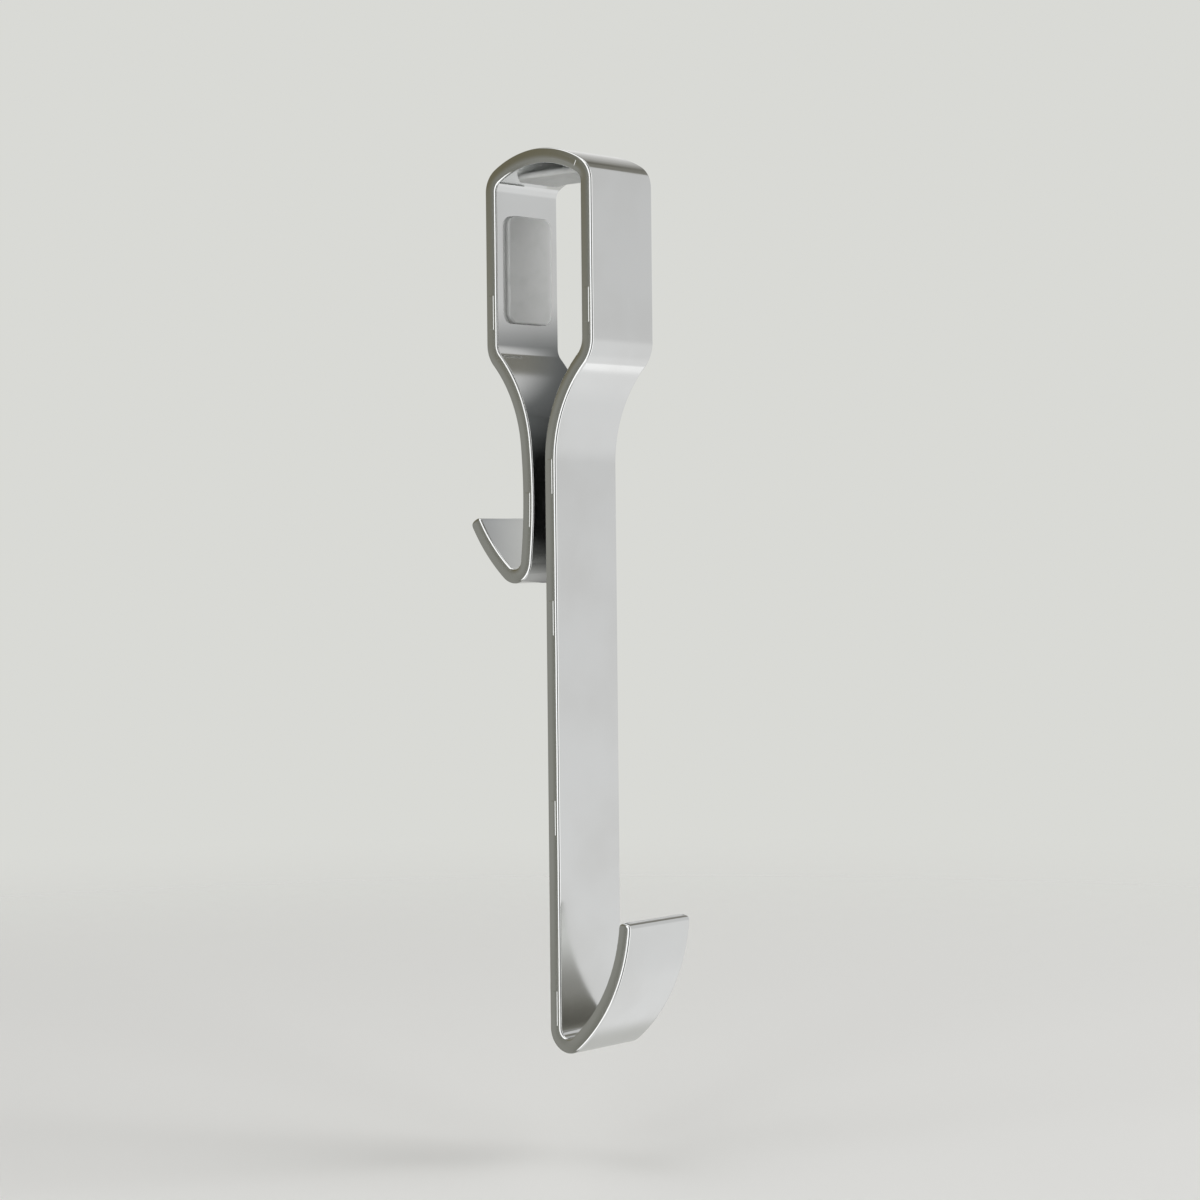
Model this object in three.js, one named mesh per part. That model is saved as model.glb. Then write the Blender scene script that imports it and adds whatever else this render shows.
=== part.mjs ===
// Shower door hook: one moulded, chrome-plated strip that saddles the top rail of a shower screen.
// Its front leg runs down the outside of the glass to a deep towel hook, and its rear leg runs down
// the inside to a small hook. Soft pads keep the plating off the rail and the glass.
// Millimetres, +Z up, X along the rail, -Y to the outside of the shower, +Y to the inside.
// The origin is the middle of the crown pad's underside, where the hook sits on the rail.

import * as THREE from 'three';

// Strip
const stripWidth = 25;
const stripThickness = 4;
const edgeRadius = 0.6;

// What the hook goes over
const saddleGap = 31;
const glassGap = 4.2;
const glassOffset = 0.5;

// Crown and saddle, with radii to the middle of the strip
const crownTurnDegrees = 30;
const cornerRadius = 5;
const saddleStraight = 41.5;

// Front run, from the saddle to the tip of the towel hook
const frontNeckRadius = 7.7;
const frontSweepRadius = 38;
const frontLegStraight = 152.5;
const frontHookRadius = 4.5;
const frontHookTurnDegrees = 128.6;
const frontArmRadius = 47.6;
const frontArmTurnDegrees = 45.5;

// Rear run, from the saddle to the tip of the inside hook. Its leg bows towards the glass:
// the lead is the part of the leg's turn that lies above its nearest point.
const rearNeckRadius = 6.5;
const rearSweepRadius = 39.5;
const rearLegRadius = 145;
const rearLegTurnDegrees = 12.7;
const rearLegLeadDegrees = 5.7;
const rearHookRadius = 4.4;
const rearHookTurnDegrees = 123;
const rearArmRadius = 50;
const rearArmTurnDegrees = 20;

const tipRadius = 1.4;

// Pads, each on a thin line of glue
const glueLine = 0.3;
const padThickness = 1.2;
const padEdgeRadius = 0.4;
const padSideMargin = 4;
const crownPadMargin = 2.5;
const railPadMargin = 6;
const railPadCorner = 3;
const bumperThickness = 1.7;
const bumperBaseRadius = 6;
const bumperFaceRadius = 4.6;
const bumperEdgeRadius = 0.5;
const bumperRise = 17.2;

// Fineness of the round stretches
const bendStepDegrees = 4;
const bendSag = 0.01;
const tipStepDegrees = 7.5;
const edgeSteps = 3;
const bumperSides = 32;
const bumperEdgeSteps = 4;

const radians = THREE.MathUtils.degToRad;
const quarterTurnDegrees = 90;

// Sizes that follow from the ones above
const halfThickness = stripThickness / 2;
const saddleHalf = saddleGap / 2 + halfThickness;
const crownRadius = cornerRadius + (saddleHalf - cornerRadius) / Math.sin(radians(crownTurnDegrees));
const crownInnerRadius = crownRadius - halfThickness;
const crownTop = padThickness + glueLine + halfThickness;
const frontLegOut = glassGap / 2 - glassOffset + halfThickness;
const rearLegOut = glassGap / 2 + glassOffset + halfThickness;

// The turn of an S-bend, in degrees, that brings the strip in by a given shift
// over a tight neck bend and a wide sweep back to upright.
function neckTurn(shift, neckRadius, sweepRadius) {
  return THREE.MathUtils.radToDeg(Math.acos(1 - shift / (neckRadius + sweepRadius)));
}

const frontNeckTurnDegrees = neckTurn(saddleHalf - frontLegOut, frontNeckRadius, frontSweepRadius);
const rearLeadShift = (rearLegRadius - rearSweepRadius) * (1 - Math.cos(radians(rearLegLeadDegrees)));
const rearNeckTurnDegrees = neckTurn(saddleHalf - rearLegOut - rearLeadShift, rearNeckRadius, rearSweepRadius);

// The strip is described the way it would be bent: straights and bends in order,
// from the middle of the crown to a tip. A turn is positive where the strip turns down
// and under, as over the crown, and negative where it turns up and out, as in a hook.
function straight(name, length) {
  return { name, length };
}

function bend(name, radius, turn) {
  return { name, radius, turn };
}

const saddleRun = [
  bend('crown', crownRadius, crownTurnDegrees),
  bend('corner', cornerRadius, quarterTurnDegrees - crownTurnDegrees),
  straight('saddle', saddleStraight),
];

const frontRun = [
  ...saddleRun,
  bend('neck', frontNeckRadius, frontNeckTurnDegrees),
  bend('sweep', frontSweepRadius, -frontNeckTurnDegrees),
  straight('leg', frontLegStraight),
  bend('hook', frontHookRadius, -frontHookTurnDegrees),
  bend('arm', frontArmRadius, -frontArmTurnDegrees),
];

const rearRun = [
  ...saddleRun,
  bend('neck', rearNeckRadius, rearNeckTurnDegrees),
  bend('sweep', rearSweepRadius, rearLegLeadDegrees - rearNeckTurnDegrees),
  bend('leg', rearLegRadius, -rearLegTurnDegrees),
  bend('hook', rearHookRadius, -rearHookTurnDegrees),
  bend('arm', rearArmRadius, -rearArmTurnDegrees),
];

// The number of steps in a bend: none turns by more than the limit, or leaves more than the given sag.
function bendSteps(stretch) {
  const outerRadius = stretch.radius + halfThickness;
  const sagStepDegrees = 2 * THREE.MathUtils.radToDeg(Math.acos(1 - bendSag / outerRadius));
  return Math.ceil(Math.abs(stretch.turn) / Math.min(bendStepDegrees, sagStepDegrees));
}

// Follows a run and returns its stations. A station has a place on the middle of the strip,
// as a distance out from the saddle's middle plane and a height, the strip's heading as an
// angle down from straight out, and the name of its stretch.
function followRun(run) {
  let out = 0;
  let up = crownTop;
  let heading = 0;
  const stations = [{ out, up, heading, name: run[0].name }];
  for (const stretch of run) {
    if (stretch.length !== undefined) {
      out += stretch.length * Math.cos(heading);
      up -= stretch.length * Math.sin(heading);
      stations.push({ out, up, heading, name: stretch.name });
      continue;
    }
    const side = Math.sign(stretch.turn);
    const centreOut = out - side * stretch.radius * Math.sin(heading);
    const centreUp = up - side * stretch.radius * Math.cos(heading);
    const steps = bendSteps(stretch);
    const start = heading;
    for (let step = 1; step <= steps; step += 1) {
      heading = start + radians(stretch.turn) * step / steps;
      out = centreOut + side * stretch.radius * Math.sin(heading);
      up = centreUp + side * stretch.radius * Math.cos(heading);
      stations.push({ out, up, heading, name: stretch.name });
    }
  }
  return stations;
}

// A point beside a station, a distance off along its outward normal and ahead along its heading.
function besideStation(station, off, ahead) {
  const normalOut = Math.sin(station.heading);
  const normalUp = Math.cos(station.heading);
  return new THREE.Vector2(
    station.out + off * normalOut + ahead * normalUp,
    station.up + off * normalUp - ahead * normalOut,
  );
}

// One run's side outline: down its outer face, round the tip, and back up its inner face.
function runOutline(stations) {
  const tip = stations[stations.length - 1];
  const round = Math.min(tipRadius, halfThickness);
  const flat = halfThickness - round;
  const outer = stations.map((station) => besideStation(station, halfThickness, 0));
  const inner = stations.map((station) => besideStation(station, -halfThickness, 0)).reverse();
  const tipSteps = Math.round(quarterTurnDegrees / tipStepDegrees);
  const cap = [];
  for (let step = 1; step <= tipSteps; step += 1) {
    const angle = radians(quarterTurnDegrees) * step / tipSteps;
    cap.push(besideStation(tip, flat + round * Math.cos(angle), round * Math.sin(angle)));
  }
  const firstBack = flat > 0 ? 0 : 1;
  for (let step = firstBack; step < tipSteps; step += 1) {
    const angle = radians(quarterTurnDegrees) * step / tipSteps;
    cap.push(besideStation(tip, -flat - round * Math.sin(angle), round * Math.cos(angle)));
  }
  return { outer, cap, inner };
}

// Carries a side outline, in Y and Z, across the width of the hook with rounded long edges.
const sideToWidth = new THREE.Matrix4().makeBasis(
  new THREE.Vector3(0, 1, 0),
  new THREE.Vector3(0, 0, 1),
  new THREE.Vector3(1, 0, 0),
);

function carryAcross(outline, width, round) {
  const depth = width - 2 * round;
  const geometry = new THREE.ExtrudeGeometry(new THREE.Shape(outline), {
    depth,
    bevelEnabled: true,
    bevelThickness: round,
    bevelSize: round,
    bevelOffset: -round,
    bevelSegments: edgeSteps,
  });
  geometry.translate(0, 0, -depth / 2);
  geometry.applyMatrix4(sideToWidth);
  return geometry;
}

// Materials
const chromePlate = new THREE.MeshStandardMaterial({ color: 0xd6d7d6, metalness: 1, roughness: 0.12 });
const clearSilicone = new THREE.MeshStandardMaterial({ color: 0xd9dcda, metalness: 0, roughness: 0.35 });

function addPiece(group, name, geometry, material) {
  const mesh = new THREE.Mesh(geometry, material);
  mesh.name = name;
  group.add(mesh);
  return mesh;
}

const hook = new THREE.Group();

// Hook body: the front and rear runs joined at the crown, in one outline
const frontStations = followRun(frontRun);
const rearStations = followRun(rearRun);
const frontSide = runOutline(frontStations);
const rearSide = runOutline(rearStations);
const towardsFront = (point) => new THREE.Vector2(-point.x, point.y);

const frontLoop = [...frontSide.outer, ...frontSide.cap, ...frontSide.inner].map(towardsFront);
const rearLoop = [...rearSide.outer, ...rearSide.cap, ...rearSide.inner].reverse();
const bodyOutline = [...frontLoop, ...rearLoop.slice(1, -1)];
addPiece(hook, 'hook_body', carryAcross(bodyOutline, stripWidth, edgeRadius), chromePlate);

// Crown pad: an even layer under the crown, ending short of the corner bends
const padWidth = stripWidth - 2 * padSideMargin;
const crownPadOuter = crownInnerRadius - glueLine;
const crownPadInner = crownPadOuter - padThickness;
const crownPadTurn = radians(crownTurnDegrees) - crownPadMargin / crownPadOuter;
const crownCentre = crownTop - crownRadius;
const crownPadSteps = 2 * Math.ceil(crownTurnDegrees / bendStepDegrees);

function crownArc(radius) {
  const points = [];
  for (let step = 0; step <= crownPadSteps; step += 1) {
    const angle = crownPadTurn * (2 * step / crownPadSteps - 1);
    points.push(new THREE.Vector2(radius * Math.sin(angle), crownCentre + radius * Math.cos(angle)));
  }
  return points;
}

const crownPadOutline = [...crownArc(crownPadOuter), ...crownArc(crownPadInner).reverse()];
addPiece(hook, 'crown_pad', carryAcross(crownPadOutline, padWidth, padEdgeRadius), clearSilicone);

// Rail pads: rounded rectangles on the inner faces of the saddle's straight legs
const saddleTop = frontStations.findLast((station) => station.name === 'corner').up;
const saddleMiddle = saddleTop - saddleStraight / 2;
const railPadHeight = saddleStraight - 2 * railPadMargin;

function roundedRectangle(width, height, corner) {
  const shape = new THREE.Shape();
  const right = width / 2;
  const top = height / 2;
  shape.moveTo(right, corner - top);
  shape.lineTo(right, top - corner);
  shape.absarc(right - corner, top - corner, corner, 0, radians(90));
  shape.lineTo(corner - right, top);
  shape.absarc(corner - right, top - corner, corner, radians(90), radians(180));
  shape.lineTo(-right, corner - top);
  shape.absarc(corner - right, corner - top, corner, radians(180), radians(270));
  shape.lineTo(right - corner, -top);
  shape.absarc(right - corner, corner - top, corner, radians(270), radians(360));
  return shape;
}

function railPadGeometry() {
  const corner = Math.min(railPadCorner, padWidth / 2, railPadHeight / 2);
  const depth = padThickness - 2 * padEdgeRadius;
  const geometry = new THREE.ExtrudeGeometry(roundedRectangle(padWidth, railPadHeight, corner), {
    depth,
    curveSegments: 4,
    bevelEnabled: true,
    bevelThickness: padEdgeRadius,
    bevelSize: padEdgeRadius,
    bevelOffset: -padEdgeRadius,
    bevelSegments: edgeSteps,
  });
  geometry.translate(0, 0, -depth / 2);
  return geometry;
}

const railPadOut = saddleGap / 2 - glueLine - padThickness / 2;
const frontRailPad = addPiece(hook, 'front_rail_pad', railPadGeometry(), clearSilicone);
frontRailPad.rotation.x = radians(quarterTurnDegrees);
frontRailPad.position.set(0, -railPadOut, saddleMiddle);
const rearRailPad = addPiece(hook, 'rear_rail_pad', railPadGeometry(), clearSilicone);
rearRailPad.rotation.x = radians(quarterTurnDegrees);
rearRailPad.position.set(0, railPadOut, saddleMiddle);

// Leg bumper: a round clear button near the foot of the front leg, on its glass side
const legFoot = frontStations.findLast((station) => station.name === 'leg').up;
const bumperEdge = Math.min(bumperEdgeRadius, bumperThickness);
const bumperProfile = [new THREE.Vector2(0, 0), new THREE.Vector2(bumperBaseRadius, 0)];
for (let step = 0; step <= bumperEdgeSteps; step += 1) {
  const angle = radians(quarterTurnDegrees) * step / bumperEdgeSteps;
  bumperProfile.push(new THREE.Vector2(
    bumperFaceRadius + bumperEdge * Math.cos(angle),
    bumperThickness - bumperEdge + bumperEdge * Math.sin(angle),
  ));
}
bumperProfile.push(new THREE.Vector2(0, bumperThickness));
const legBumper = addPiece(
  hook,
  'leg_bumper',
  new THREE.LatheGeometry(bumperProfile, bumperSides),
  clearSilicone,
);
legBumper.position.set(0, glueLine - (frontLegOut - halfThickness), legFoot + bumperRise);

export default hook;
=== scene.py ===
# %% [markdown]
# # A shower door hook, bent from one strip
# The object is a single chrome-plated strip that hangs by a saddle at its top. A deep hook ends the front leg
# and a small one ends the rear leg, and a few clear pads keep the plating off whatever the hook hangs on.
# The lesson loads the measured model as a frame, makes finer surfaces for each of its pieces, gives them
# their finishes, and lights them in a plain studio.

import bpy
import numpy as np
from mathutils import Matrix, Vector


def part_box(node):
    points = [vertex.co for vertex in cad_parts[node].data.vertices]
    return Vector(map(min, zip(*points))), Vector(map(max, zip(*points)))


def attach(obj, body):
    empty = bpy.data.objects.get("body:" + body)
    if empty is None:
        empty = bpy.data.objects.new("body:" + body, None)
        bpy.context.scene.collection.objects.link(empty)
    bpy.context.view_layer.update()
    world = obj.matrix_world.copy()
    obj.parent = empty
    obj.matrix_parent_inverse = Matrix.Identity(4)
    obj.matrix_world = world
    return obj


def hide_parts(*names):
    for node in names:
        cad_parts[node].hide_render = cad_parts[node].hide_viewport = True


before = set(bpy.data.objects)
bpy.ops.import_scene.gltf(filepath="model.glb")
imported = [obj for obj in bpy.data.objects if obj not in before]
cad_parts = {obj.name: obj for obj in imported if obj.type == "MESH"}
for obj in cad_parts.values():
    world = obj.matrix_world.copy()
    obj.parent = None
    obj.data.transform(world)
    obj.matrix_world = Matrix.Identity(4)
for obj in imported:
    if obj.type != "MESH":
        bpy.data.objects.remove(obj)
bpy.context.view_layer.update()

MM = 0.001
body_low, body_high = (np.array(corner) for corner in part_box("hook_body"))
print("measured model, mm:", np.round((body_high - body_low) / MM, 2))

# %% [markdown]
# ## How the strip is bent
# A maker would describe this hook by its bends: so much straight, then a bend of a certain radius through a
# certain angle, and so on from the crown to each tip. A drawn spline could follow the same line, but it would
# have no true straights and no true radii, and chrome shows that at once. So the strip is a list of
# stretches, each with a length and the angle that it turns through.

# %% Sizes of the bends
STRIP_THICKNESS = 4.0 * MM
CROWN_TURN = np.radians(30.0)
CORNER_RADIUS = 5.0 * MM
SADDLE_GAP = 31.0 * MM
SADDLE_LENGTH = 41.5 * MM

FRONT_NECK_RADIUS = 7.7 * MM
FRONT_SWEEP_RADIUS = 38.0 * MM
FRONT_LEG_OUT = 3.6 * MM
FRONT_LEG_LENGTH = 152.5 * MM
DEEP_HOOK_RADIUS = 4.5 * MM
DEEP_HOOK_TURN = np.radians(128.6)
DEEP_ARM_RADIUS = 47.6 * MM
DEEP_ARM_TURN = np.radians(45.5)

REAR_NECK_RADIUS = 6.5 * MM
REAR_SWEEP_RADIUS = 39.5 * MM
REAR_LEG_OUT = 4.6 * MM
REAR_LEG_RADIUS = 145.0 * MM
REAR_LEG_LEAD = np.radians(5.7)
REAR_LEG_TURN = np.radians(12.7)
SMALL_HOOK_RADIUS = 4.4 * MM
SMALL_HOOK_TURN = np.radians(123.0)
SMALL_ARM_RADIUS = 50.0 * MM
SMALL_ARM_TURN = np.radians(19.98)

strip_half = STRIP_THICKNESS / 2
strip_half_width = (body_high[0] - body_low[0]) / 2
crown_height = body_high[2] - strip_half
saddle_half = SADDLE_GAP / 2 + strip_half
crown_radius = CORNER_RADIUS + (saddle_half - CORNER_RADIUS) / np.sin(CROWN_TURN)
print("crown radius, mm:", round(crown_radius / MM, 2))


# %% The two runs
def bend(radius, turn):
    """A bend as a pair: its length, which is the radius times the angle, and the angle."""
    return radius * abs(turn), turn


def straight(length):
    """A straight as a pair: its length and no angle."""
    return length, 0.0


def neck_turn(shift, neck_radius, sweep_radius):
    """The angle of an S-bend: its two radii together, times one less the cosine, make the shift inwards."""
    return np.arccos(1 - shift / (neck_radius + sweep_radius))


def run_distance(run, stretch, inside=0.0):
    """The distance from the crown to a point of a stretch: all lengths before it and the length inside it."""
    return sum(length for length, turn in run[:stretch]) + inside


saddle_run = [
    bend(crown_radius, CROWN_TURN),
    bend(CORNER_RADIUS, np.pi / 2 - CROWN_TURN),
    straight(SADDLE_LENGTH),
]
front_neck = neck_turn(saddle_half - FRONT_LEG_OUT, FRONT_NECK_RADIUS, FRONT_SWEEP_RADIUS)
front_run = saddle_run + [
    bend(FRONT_NECK_RADIUS, front_neck),
    bend(FRONT_SWEEP_RADIUS, -front_neck),
    straight(FRONT_LEG_LENGTH),
    bend(DEEP_HOOK_RADIUS, -DEEP_HOOK_TURN),
    bend(DEEP_ARM_RADIUS, -DEEP_ARM_TURN),
]
lead_shift = (REAR_LEG_RADIUS - REAR_SWEEP_RADIUS) * (1 - np.cos(REAR_LEG_LEAD))
rear_neck = neck_turn(saddle_half - REAR_LEG_OUT - lead_shift, REAR_NECK_RADIUS, REAR_SWEEP_RADIUS)
rear_run = saddle_run + [
    bend(REAR_NECK_RADIUS, rear_neck),
    bend(REAR_SWEEP_RADIUS, REAR_LEG_LEAD - rear_neck),
    bend(REAR_LEG_RADIUS, -REAR_LEG_TURN),
    bend(SMALL_HOOK_RADIUS, -SMALL_HOOK_TURN),
    bend(SMALL_ARM_RADIUS, -SMALL_ARM_TURN),
]
for name, run in (("front", front_run), ("rear", rear_run)):
    print(name, "run, mm:", round(run_distance(run, len(run)) / MM, 1))

# %% [markdown]
# ## Following a run
# To place the strip, its middle line is needed at any distance from the crown. Summing small steps would
# work, but drifts. An arc has an exact chord, and a straight is an arc that turns by nothing, so one formula
# serves both.


# %% A run's middle line
def follow_run(run, distance):
    """Distance out from the middle plane, height and heading at each distance along a run.

    Inside a stretch the heading grows evenly. The chord from the stretch's start has the mean heading, and
    its length is the distance times the sine of half the angle turned so far over that half angle.
    """
    lengths, turns = np.array(run).T

    def chord(length, turn, heading):
        size = length * np.sinc(turn / (2 * np.pi))
        return size * np.cos(heading + turn / 2), -size * np.sin(heading + turn / 2)

    def running_total(values):
        return np.concatenate([[0.0], np.cumsum(values)])[:-1]

    start = running_total(lengths)
    heading = running_total(turns)
    step_out, step_up = chord(lengths, turns, heading)
    place_out = running_total(step_out)
    place_up = running_total(step_up)
    which = np.clip(np.searchsorted(start, distance, side="right") - 1, 0, len(run) - 1)
    inside = distance - start[which]
    turned = turns[which] * inside / lengths[which]
    out, up = chord(inside, turned, heading[which])
    return place_out[which] + out, crown_height + place_up[which] + up, heading[which] + turned


tip = follow_run(front_run, np.array([run_distance(front_run, len(front_run))]))
print("front tip, mm out and up:", np.round(np.ravel(tip[:2]) / MM, 2))

# %% [markdown]
# ## The moulding's marks
# On the left edge of the real hook are faint upright rectangles, where the blades that push a moulding out
# of its tool left their witness. They could be painted as bump, but a very low step in the surface catches
# the light in every view. Each stands a little proud, and is given by its place in a stretch of the run.

# %% Marks on the left edge
MARK_LENGTH = 9.2 * MM
MARK_HALF_WIDTH = 0.75 * MM
MARK_RISE = 0.03 * MM
MARK_STEP = 0.07 * MM
MARK_GUARD = np.array([-1.2, -0.5, 0.5, 1.2]) * MARK_STEP
CROWN, SADDLE, LEG = 0, 2, 5
FRONT_MARKS_MM = [(CROWN, 5.2), (SADDLE, 28.2), (LEG, -0.8), (LEG, 37.3), (LEG, 91.2), (LEG, 142.6)]
REAR_MARKS_MM = [(SADDLE, 28.2), (LEG, 13.4)]

front_marks, rear_marks = (
    np.array([run_distance(run, stretch, inside * MM) for stretch, inside in marks])
    for run, marks in ((front_run, FRONT_MARKS_MM), (rear_run, REAR_MARKS_MM))
)
print("marks:", len(front_marks) + len(rear_marks))

# %% [markdown]
# ## The strip's section
# Cut across, the strip is a rectangle with rounded long edges and slightly swollen narrow sides. A rounded
# rectangle is a smaller rectangle grown by a disc: each point is a point of the small rectangle plus the
# radius along the outward normal. Written that way, width, thickness and radius can all change along the
# strip.

# %% Points around the section
EDGE_ROUND = 0.6 * MM
CORNER_STEPS = 7
SIDE_MIDDLE = np.array([0.0, 0.3])
SIDE_OUTER = np.array([0.85, 0.97])
FACE_HALF = np.array([0.99, 0.93, 0.7, 0.35])


def section_points():
    """Places on the small rectangle, from -1 to 1 each way, and the outward normals, once around.

    The first point is the middle of the right side, so a point and its mirror image in the thickness have
    numbers that add up to the number of points.
    """
    mark_share = (MARK_HALF_WIDTH + MARK_GUARD) / (strip_half - EDGE_ROUND)
    side = np.concatenate([SIDE_MIDDLE, mark_share, SIDE_OUTER])
    face = np.concatenate([FACE_HALF, [0.0], -FACE_HALF[::-1]])
    turn = np.linspace(0, np.pi / 2, CORNER_STEPS + 1)
    ones = np.ones_like
    quarters = [
        (ones(side), side, ones(side), 0 * side),
        (ones(turn), ones(turn), np.cos(turn), np.sin(turn)),
        (face, ones(face), 0 * face, ones(face)),
        (-ones(turn), ones(turn), -np.cos(turn[::-1]), np.sin(turn[::-1])),
        (-ones(side[1:]), side[:0:-1], -ones(side[1:]), 0 * side[1:]),
    ]
    upper = np.concatenate([np.array(piece) for piece in quarters], axis=1)
    left_middle = np.array([[-1.0], [0.0], [-1.0], [0.0]])
    lower = upper[:, :0:-1] * np.array([[1.0], [-1.0], [1.0], [-1.0]])
    return np.concatenate([upper, left_middle, lower], axis=1)


section = section_points()
print("points around the strip:", section.shape[1])

# %% [markdown]
# ## Stations along the strip
# Chrome shows every facet, so the stations lie close together in the bends and further apart on the
# straights. Each end of a mark gets two pairs of stations, and at a tip the stations bunch up while the
# section closes over a rounded end.

# %% Stations of one run
TIP_ROUND = 1.4 * MM
TIP_STEPS = 9
STRAIGHT_STEP = 3.0 * MM
BEND_STEP = 0.45 * MM
STATION_DIGITS = 7


def run_stations(run, marks):
    """Distances along a run, from the crown to the very end of the tip, each of them once."""
    distances = []
    for stretch, (length, turn) in enumerate(run):
        count = int(np.ceil(length / (BEND_STEP if turn else STRAIGHT_STEP)))
        distances.append(run_distance(run, stretch, length * np.arange(count) / count))
    tip_turn = np.linspace(0, np.pi / 2, TIP_STEPS)
    distances.append(run_distance(run, len(run), TIP_ROUND * np.sin(tip_turn)))
    edges = np.concatenate([marks, marks + MARK_LENGTH])
    distances.append(np.add.outer(edges, MARK_GUARD).ravel())
    return np.unique(np.round(np.concatenate(distances), STATION_DIGITS))


# %% Surface of one run
SIDE_SWELL = 0.07 * MM


def smooth_step(low, high, value):
    """Zero below low, one above high, and a smooth cubic between."""
    share = np.clip((value - low) / (high - low), 0, 1)
    return share * share * (3 - 2 * share)


def past_edge(inside):
    """A mark's share of its rise at a distance inside one of its edges: a smooth step across that edge."""
    return smooth_step(-MARK_STEP / 2, MARK_STEP / 2, inside)


def run_surface(run, marks, towards):
    """Points of one run's surface, as stations by section points, and how far each lies on a rounded edge.

    At the tip the half thickness follows a quarter circle, and at the very end the half width follows one of
    the edge radius. The narrow sides fall off by the swell, times the squared place in the thickness, and
    the left one lies lower but for the marks. The share on an edge is 4 times the squared product of the
    normal's two parts, which is 1 where the normal leans halfway.
    """
    distance = run_stations(run, marks)
    out, up, heading = follow_run(run, distance)
    full = run_distance(run, len(run))
    beyond = np.clip(distance - full, 0, TIP_ROUND)
    half = strip_half - TIP_ROUND + np.sqrt(TIP_ROUND**2 - beyond**2)
    to_end = np.clip(full + TIP_ROUND - distance, 0, EDGE_ROUND)
    half_width = strip_half_width - EDGE_ROUND + np.sqrt(EDGE_ROUND**2 - (EDGE_ROUND - to_end) ** 2)
    edge = np.minimum(EDGE_ROUND, half)

    place_x, place_b, normal_x, normal_b = section
    across = np.outer(half_width - edge, place_x) + np.outer(edge, normal_x)
    across = across - SIDE_SWELL * place_b**2 * normal_x
    off = np.outer(half - edge, place_b) + np.outer(edge, normal_b)

    from_edges = distance[:, None] - marks
    inside_length = past_edge(from_edges) * past_edge(MARK_LENGTH - from_edges)
    on_mark = inside_length.max(axis=1)[:, None] * past_edge(MARK_HALF_WIDTH - np.abs(off))
    across = across + MARK_RISE * (1 - on_mark) * np.clip(-normal_x, 0, 1)

    y = towards * (out[:, None] + off * np.sin(heading)[:, None])
    z = up[:, None] + off * np.cos(heading)[:, None]
    on_edge = np.broadcast_to(4 * (normal_x * normal_b) ** 2, across.shape)
    return np.stack([across, y, z], axis=2), on_edge


front_surface, front_on_edge = run_surface(front_run, front_marks, -1.0)
rear_surface, rear_on_edge = run_surface(rear_run, rear_marks, 1.0)
print("stations:", len(front_surface), "front,", len(rear_surface), "rear")

# %% [markdown]
# ## From a grid of points to a mesh
# Every piece here is a grid of points, and most close on themselves one way: rings, one after another.
# Neighbouring rows are joined by four-sided faces. One helper makes the faces for all of them, and another
# turns them round if the shape's volume comes out negative, so that faces always point outwards.

# %% Mesh helpers
CUBIC_CM = 1e-6


def grid_quads(rows, columns, closed=True):
    """Four-sided faces between neighbouring rows. A closed grid joins its last column to its first."""
    number = np.arange(rows * columns).reshape(rows, columns)
    beside = np.roll(number, -1, axis=1)
    quads = np.stack([number[:-1], beside[:-1], beside[1:], number[1:]], axis=2)
    return quads[:, : columns if closed else columns - 1].reshape(-1, 4)


def ladder_faces(first, around):
    """A flat end closed by rungs between each point of a ring and its mirror image."""
    upper = first + np.arange(around // 2 + 1)
    lower = first + (-np.arange(around // 2 + 1)) % around
    rungs = np.stack([upper[1:-2], upper[2:-1], lower[2:-1], lower[1:-2]], axis=1)
    ends = np.array([
        [upper[0], upper[1], lower[1]],
        [upper[-2], upper[-1], lower[-2]],
    ])
    return rungs, ends


def put_object(name, data):
    """An object at the origin that shows the data, linked to the scene."""
    made = bpy.data.objects.new(name, data)
    bpy.context.scene.collection.objects.link(made)
    return made


def put_faces(name, points, faces):
    """An object with a new mesh, from points and lists of their numbers."""
    mesh = bpy.data.meshes.new(name)
    mesh.from_pydata(points.reshape(-1, 3).tolist(), [], faces)
    return put_object(name, mesh)


def put_solid(name, points, quads, triangles):
    """A smooth-shaded solid with its faces turned to point outwards.

    Its volume is a sixth of the sum of the triple products of the corners of all its triangles.
    """
    corners = np.concatenate([quads[:, [0, 1, 2]], quads[:, [0, 2, 3]], triangles])
    a, b, c = (points[corners[:, k]] for k in range(3))
    volume = np.einsum("ij,ij->i", a, np.cross(b, c)).sum() / 6
    if volume < 0:
        quads = quads[:, ::-1]
        triangles = triangles[:, ::-1]
    piece = put_faces(name, points, quads.tolist() + triangles.tolist())
    polygons = piece.data.polygons
    polygons.foreach_set("use_smooth", np.ones(len(polygons), dtype=bool))
    piece.data.update()
    print(name, "has", len(corners), "triangles and", round(abs(volume) / CUBIC_CM, 2), "cm3")
    return piece


# %% [markdown]
# ## The strip as one surface
# The real strip is one moulding from tip to tip, with no seam. Two halves could be made and joined, but
# chrome would show the join on the crown. So the front run is turned round and the rear run follows it in the
# same grid. Each point also keeps how far it lies on a rounded edge, for the finish to use.

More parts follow.
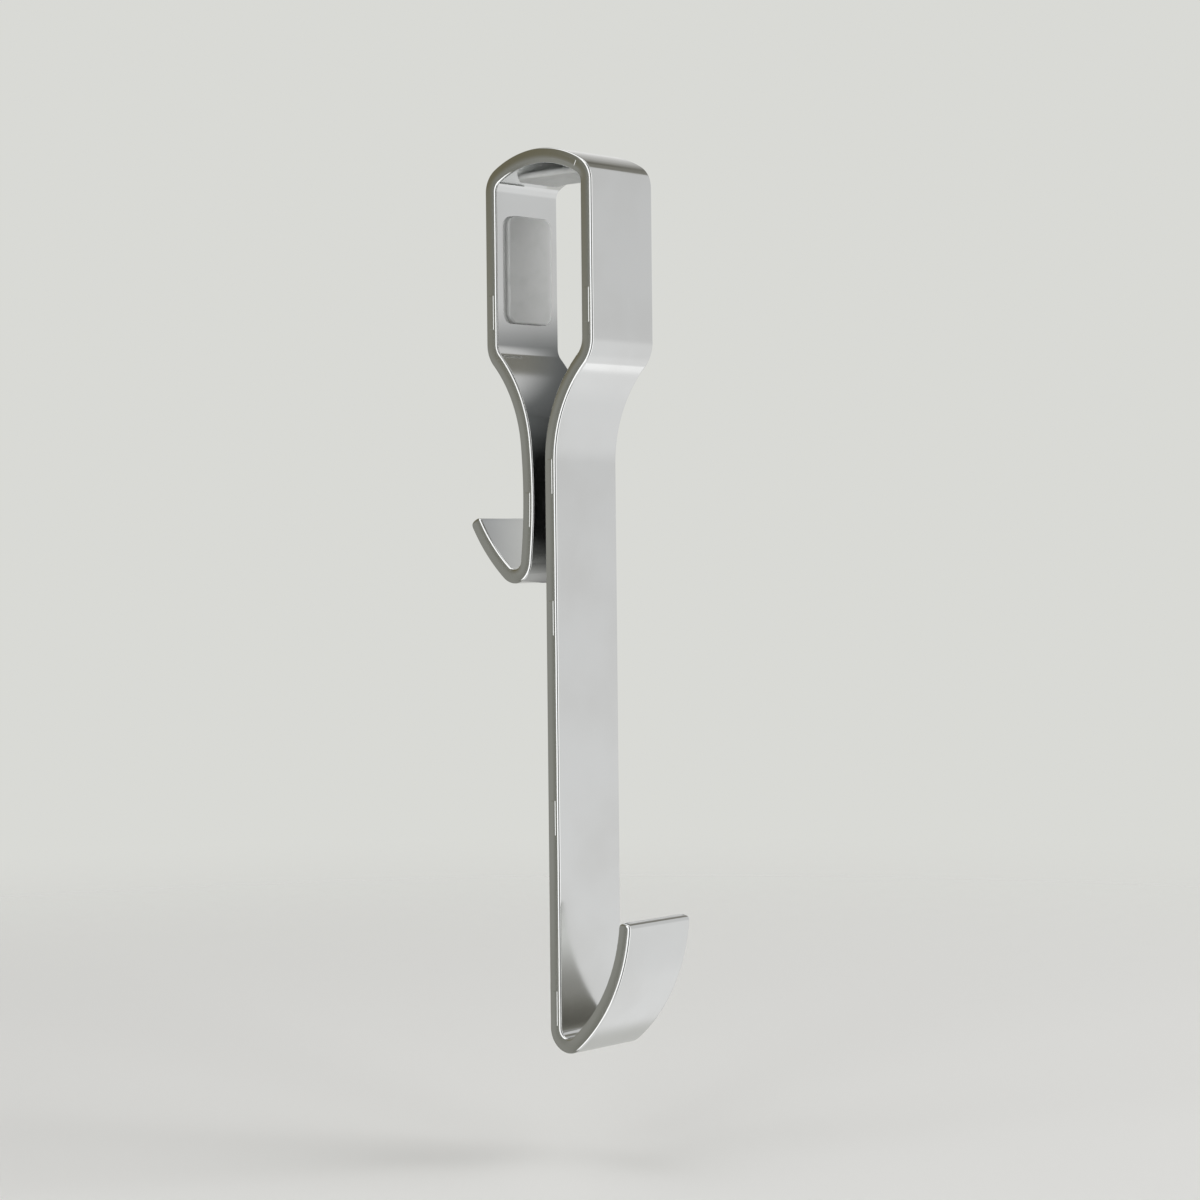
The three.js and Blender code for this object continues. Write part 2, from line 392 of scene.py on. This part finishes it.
# %% The hook body
body_surface = np.concatenate([front_surface[::-1], rear_surface[1:]])
body_on_edge = np.concatenate([front_on_edge[::-1], rear_on_edge[1:]])
rings, around = body_surface.shape[:2]
first_rungs, first_ends = ladder_faces(0, around)
last_rungs, last_ends = ladder_faces((rings - 1) * around, around)
hook_body = put_solid(
    "chrome_strip",
    body_surface.reshape(-1, 3),
    np.concatenate([grid_quads(rings, around), first_rungs, last_rungs[:, ::-1]]),
    np.concatenate([first_ends, last_ends[:, ::-1]]),
)
edge_layer = hook_body.data.attributes.new("on_edge", "FLOAT", "POINT")
edge_layer.data.foreach_set("value", body_on_edge.ravel().astype(np.float32))
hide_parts("hook_body")
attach(hook_body, "root")

# %% [markdown]
# ## Clear pads
# The pads are small mouldings of frosted silicone: a flat base on the glue, an upright wall, a rounded rim
# and a face that is very slightly domed. A bevelled box would do for one of them, but the crown pad has to
# follow an arch. So the pad is worked out flat, as rings around a rounded rectangle, and then laid on its
# seat.

# %% A pad worked out flat
PAD_AROUND = 64
PAD_FILL = np.array([0.25, 0.5, 0.75])
PAD_RIM_STEPS = 7
PAD_DOME = 0.08 * MM


def flat_pad(half_across, half_along, corner, height, rim, draft=0.0):
    """Rings of a pad, as places across, along and off its seat, and the two middle points.

    A ring is a small rectangle grown by a disc, whose radius falls with the draft up the wall and with a
    quarter circle over the rim. The rings of the two flat faces shrink to the middle, and the outer one
    rises by the dome, less the dome times the squared share of the way out.
    """
    angle = 2 * np.pi * (np.arange(PAD_AROUND) + 0.5) / PAD_AROUND
    normal = np.stack([np.cos(angle), np.sin(angle)], axis=1)
    inner = np.array([half_across - corner, half_along - corner]) * np.sign(normal)
    turn = np.linspace(0, np.pi / 2, PAD_RIM_STEPS)
    wall_inset = np.concatenate([[0.0], draft + rim * (1 - np.cos(turn))])
    wall_height = np.concatenate([[0.0], height - PAD_DOME - rim + rim * np.sin(turn)])
    wall = inner + (corner - wall_inset)[:, None, None] * normal
    base = wall[:1] * PAD_FILL[:, None, None]
    face = wall[-1:] * PAD_FILL[::-1, None, None]
    face_height = height - PAD_DOME * PAD_FILL[::-1] ** 2
    flat = np.concatenate([base, wall, face])
    off = np.concatenate([0 * PAD_FILL, wall_height, face_height])
    off = np.broadcast_to(off[:, None, None], flat.shape[:2] + (1,))
    middles = np.array([[0.0, 0.0, 0.0], [0.0, 0.0, height]])
    return np.concatenate([flat, off], axis=2), middles


def put_pad(name, node, pad, lay):
    """A pad laid on its seat by a function of places across, along and off it, closed at its two middles."""
    rings_flat, middles = pad
    count, around = rings_flat.shape[:2]
    points = lay(np.concatenate([rings_flat.reshape(-1, 3), middles]))
    first = np.arange(around)
    last = first + (count - 1) * around
    below = np.stack([np.roll(first, -1), first, np.full(around, count * around)], axis=1)
    above = np.stack([last, np.roll(last, -1), np.full(around, count * around + 1)], axis=1)
    piece = put_solid(name, points, grid_quads(count, around), np.concatenate([below, above]))
    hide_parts(node)
    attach(piece, "root")
    return piece


# %% [markdown]
# ## Pads on upright faces
# The two side pads line the saddle, and the bumper is a round button at the foot of the front leg. All three
# stand on flat faces of the strip, so they are only moved into place. The measured model gives the middle,
# the size and the height of each.

# %% Side pads and bumper
SIDE_PAD_CORNER = 3.0 * MM
PAD_RIM = 0.45 * MM
BUMPER_RIM = 0.5 * MM
BUMPER_DRAFT = 0.9 * MM


def pad_on_leg(node, towards, face):
    """A function that lays flat places on an upright face of the strip, and half the measured node's size.

    The places are counted from the middle of the node, and those off the seat go towards +Y or -Y.
    """
    low, high = (np.array(corner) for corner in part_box(node))
    middle = (low + high) / 2

    def lay(place):
        return np.stack([
            middle[0] + place[:, 0],
            face + towards * place[:, 2],
            middle[2] + place[:, 1],
        ], axis=1)

    return lay, (high - low) / 2


saddle_inner = SADDLE_GAP / 2
side_pads = []
for name, node, towards in (
    ("clear_pad_front", "front_rail_pad", 1.0),
    ("clear_pad_rear", "rear_rail_pad", -1.0),
):
    lay, half_size = pad_on_leg(node, towards, -towards * saddle_inner)
    low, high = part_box(node)
    height = saddle_inner - min(abs(low[1]), abs(high[1]))
    pad = flat_pad(half_size[0], half_size[2], SIDE_PAD_CORNER, height, PAD_RIM)
    side_pads.append(put_pad(name, node, pad, lay))

leg_back = strip_half - FRONT_LEG_OUT
lay, half_size = pad_on_leg("leg_bumper", 1.0, leg_back)
bumper_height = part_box("leg_bumper")[1][1] - leg_back
bumper_pad = flat_pad(half_size[0], half_size[0], half_size[0], bumper_height, BUMPER_RIM, BUMPER_DRAFT)
bumper = put_pad("clear_bumper", "leg_bumper", bumper_pad, lay)

# %% [markdown]
# ## The pad under the crown
# The strip's weight rests on this pad. It is the same flat pad, but its length is wrapped round the crown's
# inner face, so that every point keeps its distance from that face. Bending a finished mesh with a modifier
# would also do, but the sum is only a sine and a cosine.

# %% Crown pad
CROWN_PAD_CORNER = 2.0 * MM
GLUE_LINE = 0.3 * MM

crown_inner_radius = crown_radius - strip_half
crown_centre = crown_height - crown_radius
crown_pad_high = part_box("crown_pad")[1]
crown_pad_reach = np.arcsin(crown_pad_high[1] / (crown_inner_radius - GLUE_LINE))


def lay_on_crown(place):
    """Wraps the length round the crown's inner face: the angle is the length over that radius."""
    angle = place[:, 1] / crown_inner_radius
    radius = crown_inner_radius - place[:, 2]
    return np.stack([
        place[:, 0],
        radius * np.sin(angle),
        crown_centre + radius * np.cos(angle),
    ], axis=1)


crown_flat = flat_pad(
    crown_pad_high[0],
    crown_pad_reach * crown_inner_radius,
    CROWN_PAD_CORNER,
    crown_centre + crown_inner_radius,
    PAD_RIM,
)
crown_pad = put_pad("clear_pad_crown", "crown_pad", crown_flat, lay_on_crown)

# %% [markdown]
# ## Shader sums in plain Python
# A finish is a small calculation on every point of a surface. Adding nodes one by one hides the sum, so a
# small class wraps a socket and turns each operator into a Math node. Any other node goes through one method.

# %% A socket that can be added up
MIX_SHARE, MIX_FIRST, MIX_SECOND, MIX_COLOUR = 0, 6, 7, 2


class Wire:
    """A node's output, or a tree to begin with, that can be used in sums."""

    def __init__(self, tree, socket=None):
        self.tree = tree
        self.socket = socket

    def plug(self, sockets, values):
        """Gives input sockets their values: a wire is linked, and anything else is set."""
        for key, value in values.items():
            if isinstance(value, Wire):
                self.tree.links.new(value.socket, sockets[key])
            else:
                sockets[key].default_value = value

    def node(self, kind, output=0, settings=None, inputs=None):
        """Adds any node: its settings first, then the values or links of its sockets."""
        made = self.tree.nodes.new(kind)
        for key, value in (settings or {}).items():
            if key == "stops":
                ramp = made.color_ramp.elements
                for index, (place, colour) in enumerate(value):
                    stop = ramp[index] if index < 2 else ramp.new(place)
                    stop.position = place
                    stop.color = colour
            else:
                setattr(made, key, value)
        self.plug(made.inputs, inputs or {})
        return Wire(self.tree, made.outputs[output]) if made.outputs else made

    def sum(self, operation, left, right=0.0):
        """One Math node on two values."""
        return self.node("ShaderNodeMath", 0, {"operation": operation}, {0: left, 1: right})

    def __add__(self, other):
        return self.sum("ADD", self, other)

    def __radd__(self, other):
        return self.sum("ADD", other, self)

    def __sub__(self, other):
        return self.sum("SUBTRACT", self, other)

    def __rsub__(self, other):
        return self.sum("SUBTRACT", other, self)

    def __mul__(self, other):
        return self.sum("MULTIPLY", self, other)

    def __rmul__(self, other):
        return self.sum("MULTIPLY", other, self)

    def __truediv__(self, other):
        return self.sum("DIVIDE", self, other)

    def __rtruediv__(self, other):
        return self.sum("DIVIDE", other, self)

    def ramp(self, low, high):
        """A smooth step from 0 at low to 1 at high."""
        inputs = {"Value": self, "From Min": low, "From Max": high}
        return self.node("ShaderNodeMapRange", 0, {"interpolation_type": "SMOOTHSTEP"}, inputs)

    def mix(self, first, second):
        """A colour between two others, with this value as the share of the second."""
        inputs = {MIX_SHARE: self, MIX_FIRST: first, MIX_SECOND: second}
        return self.node("ShaderNodeMix", MIX_COLOUR, {"data_type": "RGBA"}, inputs)

    def axis(self, letter):
        """The part of this place or direction along X, Y or Z."""
        return self.node("ShaderNodeSeparateXYZ", letter, None, {0: self})

    def noise(self, scale, detail):
        """Soft noise at this place, from 0 to 1, with finer layers added up to the detail."""
        return self.node("ShaderNodeTexNoise", 0, None, {"Vector": self, "Scale": scale, "Detail": detail})

    def bump(self, strength, distance):
        """A normal that leans as if this value, times the distance, were a height."""
        inputs = {"Strength": strength, "Distance": distance, "Height": self}
        return self.node("ShaderNodeBump", 0, None, inputs)


# %% Helpers for finishes
def rgb(red, green, blue):
    """A colour with full cover."""
    return red, green, blue, 1.0


def grey(tone):
    """A colour whose three parts are the same."""
    return rgb(tone, tone, tone)


def new_finish(name):
    """An empty material: its tree as a wire, its shader, and the place on the object."""
    material = bpy.data.materials.new(name)
    material.use_nodes = True
    start = Wire(material.node_tree)
    shader = material.node_tree.nodes["Principled BSDF"]
    place = start.node("ShaderNodeTexCoord", "Object")
    return material, start, shader, place


def feed(start, shader, **values):
    """Sets or links the shader's sockets, named with a low line for each space."""
    start.plug(shader.inputs, {name.replace("_", " "): value for name, value in values.items()})


# %% [markdown]
# ## Bright chrome over plastic
# Plated plastic is a little softer to look at than polished steel: the plate follows slight flow waves in
# the moulding, and wiping leaves a haze that is clearest on the flats. The rounded edges are rubbed bright.
# A photograph of worn chrome could be laid over it, but sums on the place have no seams. Only base colour,
# roughness and bump vary, and the metal itself is the same all over.

# %% Chrome finish
CLEAN_CHROME = rgb(0.82, 0.83, 0.825)
HAZED_CHROME = rgb(0.77, 0.775, 0.765)
CHROME_ROUGH = 0.07
HAZE_ROUGH = 0.05
WIPE_ROUGH = 0.03
EDGE_POLISH = 0.05
WIPE_SCALE = (900.0, 900.0, 60.0)
PEEL_SHARE = 0.02

chrome, start, shader, place = new_finish("bright_chrome")
cloud = place.noise(scale=38.0, detail=4.0).ramp(0.35, 0.75)
wipe_place = start.node("ShaderNodeMapping", 0, None, {"Vector": place, "Scale": WIPE_SCALE})
wipe = wipe_place.noise(scale=1.0, detail=2.0)
on_edge = start.node("ShaderNodeAttribute", "Fac", {"attribute_name": "on_edge"})
flow = place.noise(scale=55.0, detail=1.0)
peel = place.noise(scale=700.0, detail=1.0)
feed(
    start, shader,
    Metallic=1.0,
    Base_Color=cloud.mix(CLEAN_CHROME, HAZED_CHROME),
    Roughness=CHROME_ROUGH + HAZE_ROUGH * cloud + WIPE_ROUGH * wipe - EDGE_POLISH * on_edge,
    Normal=(flow + PEEL_SHARE * peel).bump(strength=0.022, distance=1.0 * MM),
)
hook_body.data.materials.append(chrome)
print("chrome nodes:", len(chrome.node_tree.nodes))

# %% [markdown]
# ## Frosted silicone
# The pads are clear rubber with a fine matt face from the tool. They let the plate behind show through
# faintly. A fully clear finish would sparkle, so most of the look is a pale body colour with some
# transmission and a rough surface.

# %% Silicone finish
CLEAR_RUBBER = rgb(0.90, 0.91, 0.90)
DUSTY_RUBBER = rgb(0.83, 0.845, 0.83)
RUBBER_ROUGH = 0.34
DUST_ROUGH = 0.14
GRAIN_ROUGH = 0.08

silicone, start, shader, place = new_finish("frosted_silicone")
dust = place.noise(scale=240.0, detail=3.0).ramp(0.4, 0.8)
grain = place.noise(scale=4200.0, detail=2.0)
feed(
    start, shader,
    Transmission_Weight=0.35,
    IOR=1.41,
    Base_Color=dust.mix(CLEAR_RUBBER, DUSTY_RUBBER),
    Roughness=RUBBER_ROUGH + DUST_ROUGH * dust + GRAIN_ROUGH * grain,
    Normal=grain.bump(strength=0.25, distance=0.2 * MM),
)
pads = [*side_pads, bumper, crown_pad]
for piece in pads:
    piece.data.materials.append(silicone)
print("pads with a finish:", len(pads))

# %% [markdown]
# ## The floor
# The hook hangs in the air, above a pale floor that takes a faint shadow. A large plane would end in a hard
# line, so the floor is a disc of rings whose cover fades out towards its rim. The chrome doesn't mirror it.

# %% Floor
FLOOR_DROP = 30.0 * MM
FLOOR_RADIUS = 0.9
FLOOR_FULL_RADIUS = 0.35
FLOOR_RINGS = 24
FLOOR_AROUND = 96

floor_ring = np.linspace(0, FLOOR_RADIUS, FLOOR_RINGS + 1)[1:]
floor_angle = 2 * np.pi * np.arange(FLOOR_AROUND) / FLOOR_AROUND
floor_height = body_low[2] - FLOOR_DROP
floor_points = np.stack([
    np.outer(floor_ring, np.cos(floor_angle)),
    np.outer(floor_ring, np.sin(floor_angle)),
    np.full((FLOOR_RINGS, FLOOR_AROUND), floor_height),
], axis=2).reshape(-1, 3)
first = np.arange(FLOOR_AROUND)
floor_middle = np.stack([first, np.roll(first, -1), np.full(FLOOR_AROUND, len(floor_points))], axis=1)
floor = put_faces(
    "floor",
    np.concatenate([floor_points, [[0.0, 0.0, floor_height]]]),
    grid_quads(FLOOR_RINGS, FLOOR_AROUND)[:, ::-1].tolist() + floor_middle.tolist(),
)
floor.visible_glossy = False

paper, start, shader, place = new_finish("pale_floor")
spread = start.node("ShaderNodeVectorMath", "Value", {"operation": "LENGTH"}, {0: place})
feed(
    start, shader,
    Base_Color=rgb(0.80, 0.80, 0.785),
    Roughness=0.9,
    Alpha=1 - spread.ramp(FLOOR_FULL_RADIUS, FLOOR_RADIUS),
)
floor.data.materials.append(paper)
print("floor height, mm:", round(floor_height / MM, 1))

# %% [markdown]
# ## Three cards of painted reflection
# Mirrors that face each other wash out unless something dark stands beside them, so a photographer puts a
# small card there. Tones painted on the strip would do for one view, but they would stay put when the view
# turns. A card here is a glowing sheet that only reflections see: it paints a reflection and lights nothing,
# and it fades out at its ends.


# %% A card
def put_card(name, points, tones, cover, along="Z", near_fade=None):
    """A glowing sheet that only mirrors see, a painted reflection, from a grid of points.

    Its tones are given at rising places along one axis. Its cover is full between the two middle places of
    four along that axis, and fades out to the outer two. A near fade takes it from nothing to full along Y.
    """
    rows, columns = points.shape[:2]
    card = put_faces(name, points, grid_quads(rows, columns, closed=False).tolist())
    card.visible_camera = False
    card.visible_diffuse = False
    card.visible_shadow = False
    card.visible_transmission = False
    painted_reflection, start, shader, place = new_finish(name)
    way = place.axis(along)
    low, high = tones[0][0], tones[-1][0]
    stops = [((tone_place - low) / (high - low), colour) for tone_place, colour in tones]
    tone = start.node("ShaderNodeValToRGB", 0, {"stops": stops}, {0: (way - low) / (high - low)})
    begin, full_from, full_to, end = cover
    share = way.ramp(begin, full_from) * (1 - way.ramp(full_to, end))
    if near_fade:
        share = share * place.axis("Y").ramp(*near_fade)
    # painted reflection: the card glows in its tones, and only mirrors see it
    feed(
        start, shader,
        Base_Color=grey(0.0),
        Specular_IOR_Level=0.0,
        Emission_Strength=1.0,
        Emission_Color=tone,
        Alpha=share,
    )
    card.data.materials.append(painted_reflection)
    return card


def flat_card(x, y, z):
    """The corners of a level or upright card, from two places along two axes and one along the third."""
    return np.stack(np.meshgrid(x, y, z, indexing="ij"), axis=3).reshape(2, 2, 3)


# %% [markdown]
# ## The dark card beside the slot: a painted dark reflection
# It closes the right side of the slot between the legs, which would otherwise mirror pale surroundings back
# and forth, so its glow paints the dark reflections that stand for the shade between the legs. A plain
# rectangle would darken the strip's right side too. So the card is cut to the strip's inner faces, with a
# narrow lap, and it turns paler and wider under the small hook.

# %% Slot card
CARD_CLEAR = 0.1 * MM
CARD_LAP = 0.75 * MM
CARD_ROWS = 200
LINE_STEPS = 2000
ARM = 7
SLOT_FOOT = 12.0 * MM
SLOT_FOOT_DROP = 1.5 * MM
SLOT_COVER = (-140.0 * MM, -134.0 * MM, -50.0 * MM, -32.0 * MM)
# painted dark reflection: pale grey under the small hook, near black in the slot, dim grey higher up
SLOT_TONES = [
    (-130.0 * MM, rgb(0.40, 0.40, 0.39)),
    (-104.0 * MM, grey(0.006)),
    (-70.0 * MM, grey(0.004)),
    (-45.0 * MM, rgb(0.15, 0.155, 0.155)),
]


def inner_line(run):
    """Heights and distances out of a run's inner face, from the lowest point of its hook up to the saddle.

    The inner face lies half the thickness from the middle line, square to its heading. The hook's lowest
    point is where the heading is level.
    """
    distance = np.linspace(run_distance(run, SADDLE), run_distance(run, ARM), LINE_STEPS)
    out, up, heading = follow_run(run, distance)
    falling = heading >= 0
    inner_out = (out - strip_half * np.sin(heading))[falling]
    inner_up = (up - strip_half * np.cos(heading))[falling]
    return inner_up[::-1], inner_out[::-1]


front_line_up, front_line_out = inner_line(front_run)
rear_line_up, rear_line_out = inner_line(rear_run)
card_height = np.linspace(SLOT_COVER[0], SLOT_COVER[-1], CARD_ROWS)
rear_foot = rear_line_up[0]
foot = SLOT_FOOT * smooth_step(rear_foot, rear_foot - SLOT_FOOT_DROP, card_height)
front_edge = -np.interp(card_height, front_line_up, front_line_out) - CARD_LAP
rear_edge = np.interp(card_height, rear_line_up, rear_line_out) + CARD_LAP + foot
slot_points = np.stack([
    np.full((CARD_ROWS, 2), strip_half_width + CARD_CLEAR),
    np.stack([front_edge, rear_edge], axis=1),
    np.stack([card_height, card_height], axis=1),
], axis=2)
# painted dark reflection in the strip's inner faces, seen only by mirrors
slot_reflection_card = put_card("slot_reflection_card", slot_points, SLOT_TONES, SLOT_COVER)
print("slot card's foot, mm:", round(rear_foot / MM, 2))

# %% [markdown]
# ## Two pale cards: a painted reflection and a painted highlight
# One stands beside the small hook and lifts its inside with a painted pale reflection. The other lies low on
# the right and draws the bright stripe on the front neck, a painted highlight. A lamp in each place would
# light the pads and the floor too, and a card doesn't.

# %% Pale card and neck card
PALE_CARD_CLEAR = 0.3 * MM
PALE_CARD_REACH = (5.0 * MM, 34.0 * MM)
PALE_CARD_NEAR_FADE = (5.5 * MM, 9.0 * MM)
PALE_COVER = (-122.0 * MM, -118.0 * MM, -65.0 * MM, -55.0 * MM)
# painted pale reflection inside the small hook, paler low down
PALE_TONES = [
    (-98.0 * MM, rgb(0.66, 0.66, 0.635)),
    (-70.0 * MM, rgb(0.35, 0.355, 0.365)),
]
NECK_CARD_REACH = (30.0 * MM, 60.0 * MM)
NECK_CARD_HEIGHT = -93.0 * MM
NECK_COVER = (-23.0 * MM, -21.5 * MM, -15.0 * MM, -14.0 * MM)
# painted highlight: a glow brighter than white, for the stripe on the front neck
NECK_TONES = [
    (NECK_COVER[0], grey(1.05)),
    (NECK_COVER[-1], grey(1.05)),
]

pale_side = strip_half_width + PALE_CARD_CLEAR
pale_points = flat_card([pale_side], PALE_CARD_REACH, [PALE_COVER[0], PALE_COVER[-1]])
pale_reflection_card = put_card("pale_reflection_card", pale_points, PALE_TONES, PALE_COVER, near_fade=PALE_CARD_NEAR_FADE)
neck_points = flat_card(NECK_CARD_REACH, [NECK_COVER[0], NECK_COVER[-1]], [NECK_CARD_HEIGHT])
neck_highlight_card = put_card("neck_highlight_card", neck_points, NECK_TONES, NECK_COVER, along="Y")
print("cards:", slot_reflection_card.name, pale_reflection_card.name, neck_highlight_card.name)

# %% [markdown]
# ## A plain studio
# Chrome has almost no colour of its own: it shows what stands round it. A picture of a studio could go round
# the scene, but here each tone is a function of direction, so each can be set by itself. Most of the studio
# is soft and pale. The camera sees only one even backdrop, and the chrome sees the rest.

# %% Directions
LEVEL_FLOOR = 1e-6

world = bpy.data.worlds.new("studio")
bpy.context.scene.world = world
world.use_nodes = True
world.node_tree.nodes.clear()
studio = Wire(world.node_tree)
toward = studio.node("ShaderNodeTexCoord", "Generated")
east, north, height = (toward.axis(letter) for letter in "XYZ")
level = studio.sum("SQRT", east * east + north * north + LEVEL_FLOOR)


def panel(azimuth, half, soft):
    """A share of 1 inside an upright panel at an azimuth from +X towards +Y, with a soft edge, in degrees.

    The cosine of the angle to the panel's middle is the direction's level part times the panel's own.
    """
    east_part, north_part = np.cos(np.radians(azimuth)), np.sin(np.radians(azimuth))
    along = (east * east_part + north * north_part) / level
    return along.ramp(np.cos(np.radians(half + soft)), np.cos(np.radians(half)))


def patch(tone, under, share, rise=None, fall=None):
    """One tone over another, by a share that can begin over a rise and end over a fall of two heights each.

    Heights are the direction's part along Z, from -1 to 1.
    """
    if rise:
        share = share * height.ramp(*rise)
    if fall:
        share = share * (1 - height.ramp(*fall))
    return share.mix(under, tone)


# %% [markdown]
# ## Tones on the right
# The front leg and the deep hook mirror the right side. It is pale, with a faint glow low down. Its upper
# part falls off to dark in two steps, which make the band on the crown and the shade inside the deep hook.

# %% Right side
pale = height.ramp(-0.15, 0.15).mix(grey(0.75), grey(0.62))
glow = patch(grey(0.805), pale, panel(azimuth=-8.0, half=8.0, soft=18.0), fall=(-0.6, -0.4))
dusk = height.ramp(0.2, 0.6).mix(rgb(0.86, 0.86, 0.85), rgb(0.33, 0.325, 0.305))
night = height.ramp(0.60, 0.65).mix(dusk, rgb(0.21, 0.205, 0.18))
deep = patch(rgb(0.11, 0.105, 0.09), night, panel(azimuth=24.0, half=18.0, soft=5.0), rise=(0.645, 0.675))
upper = patch(deep, glow, panel(azimuth=15.0, half=29.0, soft=3.5), rise=(0.0, 0.1))
low_panel = panel(azimuth=42.0, half=24.0, soft=16.0)
right_side = patch(rgb(0.56, 0.56, 0.54), upper, low_panel, rise=(-1.05, -0.95), fall=(-0.1, 0.0))
print("studio nodes for the right side:", len(world.node_tree.nodes))

# %% [markdown]
# ## Tones behind, above and on the left
# A dull olive side, behind and to the left, gives the narrow edges of the strip their tone. Two upright
# light panels with a dark gap between them draw the thin bright lines along the rounded edges. A plain bar in
# each panel keeps the faces that are seen straight on from glaring.

# %% The other sides
LIGHT_RISE = (-0.8, -0.7)
LIGHT_FALL = (0.7, 0.8)
CEILING_TONE = grey(1.25)

dull = height.ramp(0.02, 0.18).mix(rgb(0.27, 0.27, 0.245), rgb(0.158, 0.145, 0.098))
olive = patch(dull, right_side, panel(azimuth=97.0, half=48.0, soft=7.0), fall=(0.7, 0.8))
shade_panel = panel(azimuth=152.0, half=3.0, soft=14.0)
shade = patch(rgb(0.19, 0.19, 0.165), olive, shade_panel, rise=(-1.0, -0.8), fall=(0.55, 0.75))
slope = patch(CEILING_TONE, shade, panel(azimuth=125.0, half=70.0, soft=20.0), rise=(0.80, 0.86))
ceiling = height.ramp(0.94, 0.98).mix(slope, CEILING_TONE)
left_panel = panel(azimuth=176.0, half=24.0, soft=4.0)
left_light = patch(grey(1.5), ceiling, left_panel, LIGHT_RISE, LIGHT_FALL)
gap_panel = panel(azimuth=226.0, half=24.0, soft=4.0)
gap = patch(grey(0.02), left_light, gap_panel, rise=(-0.76, -0.7), fall=(0.86, 0.92))
front_panel = panel(azimuth=277.0, half=24.0, soft=6.0)
front_light = patch(grey(1.3), gap, front_panel, LIGHT_RISE, LIGHT_FALL)
left_bar = patch(pale, front_light, panel(azimuth=180.0, half=5.0, soft=3.0))
front_bar = patch(pale, left_bar, panel(azimuth=270.0, half=5.0, soft=3.0))

# %% Backdrop
BACKDROP = rgb(0.695, 0.70, 0.67)

seen = studio.node("ShaderNodeLightPath", "Is Camera Ray")
shown = seen.mix(front_bar, BACKDROP)
background = studio.node("ShaderNodeBackground", 0, None, {"Color": shown, "Strength": 1.0})
studio.node("ShaderNodeOutputWorld", 0, None, {"Surface": background})
print("studio nodes in all:", len(world.node_tree.nodes))

# %% [markdown]
# ## Two soft boxes
# The floor and the pads aren't mirrors, so they need light of their own. Two large soft boxes give it, one
# high at the front right and a weaker one at the left. The chrome doesn't show them, so its lines stay clean.


# %% Lights
def placed(axes, place):
    """A matrix that turns an object's own X, Y and Z to three given axes and moves it to a place."""
    matrix = np.eye(4)
    matrix[:3, :3] = np.stack(axes, axis=1)
    matrix[:3, 3] = place
    return Matrix(matrix.tolist())


def soft_box(name, place, size, power):
    """A square area light that points at the middle of the hook.

    Its own Z points away from that middle. Its X is square to both that and the world's Z.
    """
    lamp = bpy.data.lights.new(name, "AREA")
    lamp.size = size
    lamp.energy = power
    away = np.array(place) - (body_low + body_high) / 2
    away = away / np.linalg.norm(away)
    side = np.cross([0.0, 0.0, 1.0], away)
    side = side / np.linalg.norm(side)
    box = put_object(name, lamp)
    box.matrix_world = placed([side, np.cross(away, side), away], place)
    box.visible_camera = False
    box.visible_glossy = False
    return box


key_box = soft_box("key_light", place=(0.9, -1.1, 1.0), size=0.9, power=9.0)
fill_box = soft_box("fill_light", place=(-1.2, -0.4, 0.6), size=0.9, power=4.0)
print("lights:", key_box.name, fill_box.name)

# %% [markdown]
# ## The camera
# The viewpoint is at the front left, level with the middle of the hook and about three quarters of a metre
# away. The lens is a short telephoto, so upright lines stay nearly upright.

# %% Camera
CAMERA_PLACE = np.array([-560.2, -509.3, -103.3]) * MM
CAMERA_YAW = np.radians(48.3)
CAMERA_PITCH = np.radians(-1.0)
CAMERA_ROLL = np.radians(-0.57)
CAMERA_LENS = 83.1
CAMERA_SENSOR = 36.0
CAMERA_CLIP = 10.0 * MM

ahead = np.array([
    np.sin(CAMERA_YAW) * np.cos(CAMERA_PITCH),
    np.cos(CAMERA_YAW) * np.cos(CAMERA_PITCH),
    np.sin(CAMERA_PITCH),
])
right = np.array([np.cos(CAMERA_YAW), -np.sin(CAMERA_YAW), 0.0])
above = np.cross(right, ahead)
rolled_right = np.cos(CAMERA_ROLL) * right + np.sin(CAMERA_ROLL) * above
rolled_above = np.cos(CAMERA_ROLL) * above - np.sin(CAMERA_ROLL) * right
lens = bpy.data.cameras.new("camera")
lens.lens = CAMERA_LENS
lens.sensor_width = CAMERA_SENSOR
lens.clip_start = CAMERA_CLIP
camera = put_object("camera", lens)
camera.matrix_world = placed([rolled_right, rolled_above, -ahead], CAMERA_PLACE)
bpy.context.scene.camera = camera
bpy.context.scene.view_settings.view_transform = "Standard"
print("camera, mm from the origin:", round(np.linalg.norm(CAMERA_PLACE) / MM))
